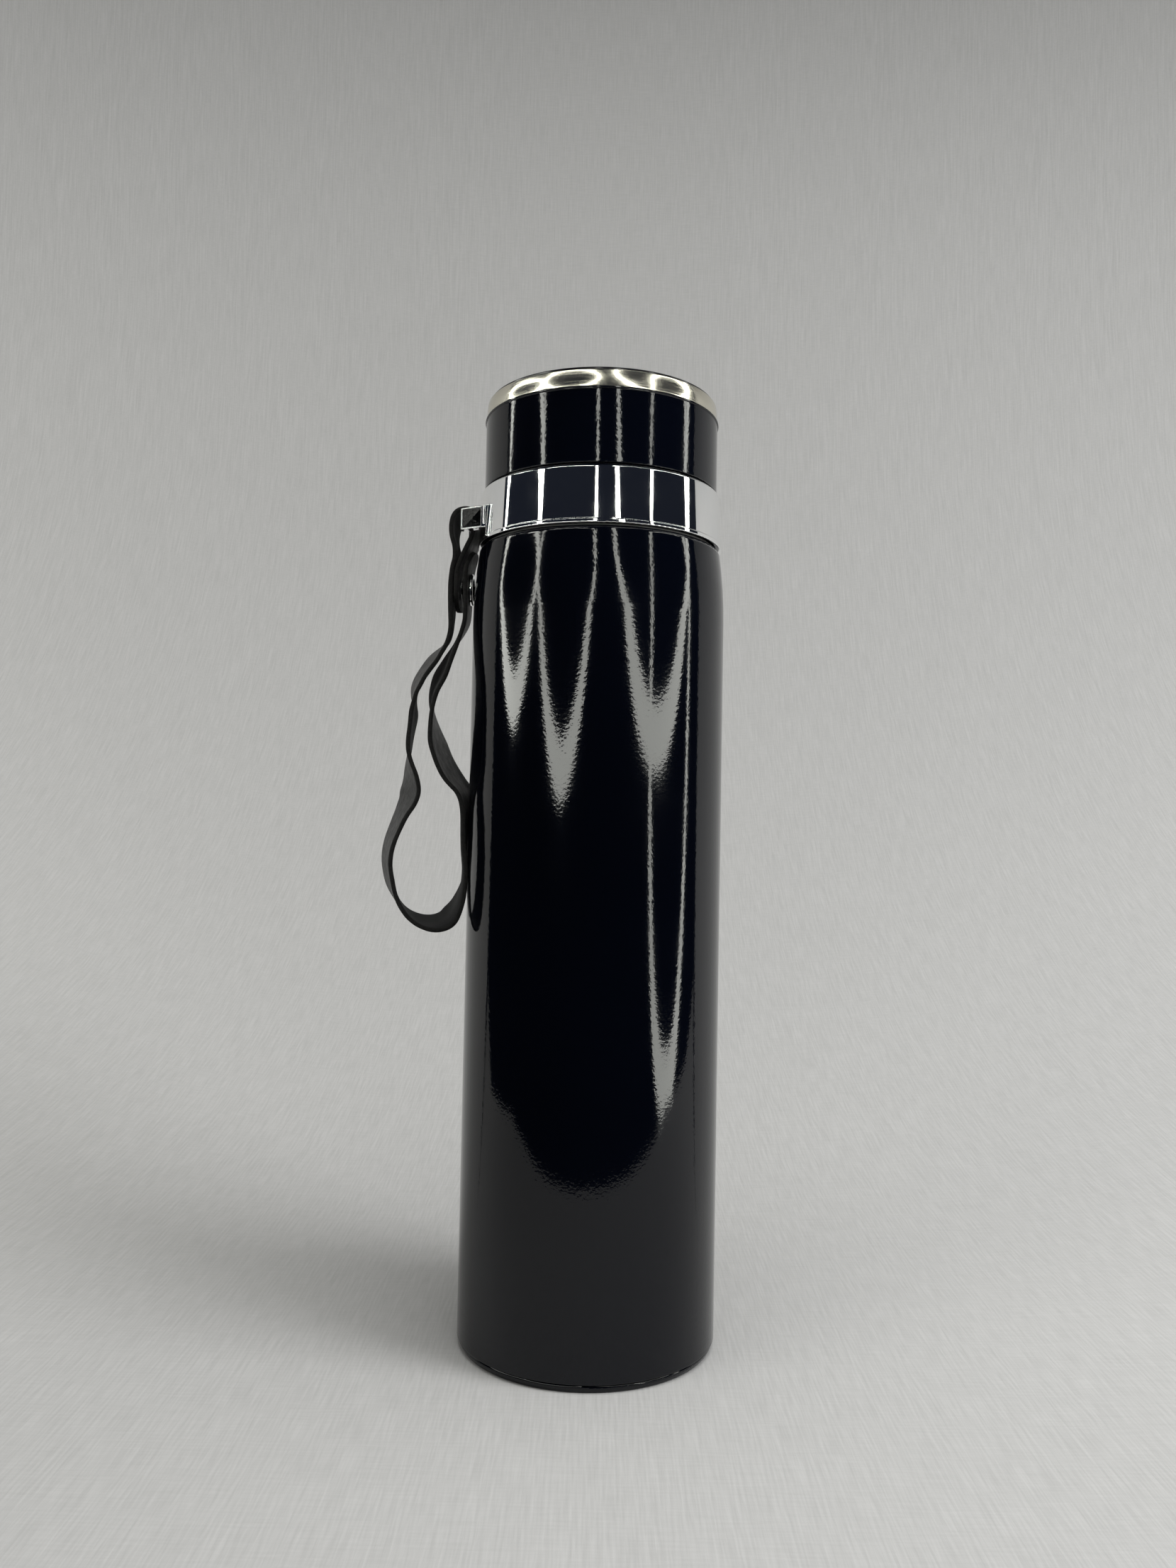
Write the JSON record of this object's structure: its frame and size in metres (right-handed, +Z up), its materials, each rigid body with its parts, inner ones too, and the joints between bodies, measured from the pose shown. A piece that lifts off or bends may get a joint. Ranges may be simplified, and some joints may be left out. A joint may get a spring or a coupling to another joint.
{
  "type": "canteen",
  "caption": "Tall double-walled vacuum flask with a screw lid, a polished collar and a leather wrist strap that swings on a side lug.",
  "frame": {"origin": "centre of the flat base, on the surface that the flask stands on", "axes": "+Z up along the flask's axis; the strap lug is on -X; -Y is the front"},
  "size_m": [0.1021, 0.076, 0.2801],
  "materials": {
    "body_lacquer": "high-gloss black lacquer with a faint blue cast",
    "stainless_steel": "satin stainless steel",
    "trim_steel": "polished stainless steel",
    "collar_chrome": "mirror chrome plate",
    "snap_chrome": "bright nickel plate",
    "inset_black": "glossy black",
    "disc_black": "glossy black",
    "black_plastic": "moulded",
    "liner_plastic": "moulded food-grade polypropylene",
    "white_foam": "expanded foam",
    "silicone": "soft silicone",
    "pad_rubber": "matt rubber",
    "seal_solder": "glass solder bead",
    "strap_leather": "smooth black leather, suede inner face"
  },
  "bodies": {
    "flask": {"outer_shell": "body_lacquer", "inner_flask": "stainless_steel", "outer_bottom": "stainless_steel", "vacuum_seal": "seal_solder", "getter_capsule": "stainless_steel", "base_cover": "body_lacquer", "base_pad": "pad_rubber", "collar_ring": "collar_chrome", "collar_carrier": "black_plastic", "collar_seal": "silicone", "strap_lug": "collar_chrome", "lug_inset_front": "inset_black", "lug_inset_rear": "inset_black"},
    "gasket": {"lid_gasket": "silicone"},
    "lid": {"lid_shell": "body_lacquer", "lid_liner": "liner_plastic", "lid_insulation": "white_foam", "trim_carrier": "black_plastic", "trim_ring": "trim_steel", "top_disc": "disc_black"},
    "strap": {"strap": "strap_leather", "snap_cap": "snap_chrome", "snap_socket": "snap_chrome", "snap_stud": "snap_chrome", "snap_post": "snap_chrome"}
  },
  "joints": [
    {"name": "lid_rise", "type": "slide", "parent": "flask", "child": "gasket", "axis": [0, 0, 1], "range_m": [0, 0.0105]},
    {"name": "lid_turn", "type": "hinge", "parent": "gasket", "child": "lid", "pos_m": [0, 0, 0.2525], "axis": [0, 0, 1], "range_deg": [0, 1080]},
    {"name": "strap_swing", "type": "hinge", "parent": "flask", "child": "strap", "pos_m": [-0.04043, 0, 0.2431], "axis": [0, 1, 0], "range_deg": [0, 125]}
  ],
  "couplings": [
    {"joint": "lid_rise", "follows": "lid_turn", "m_per_rad": 0.00055704}
  ]
}
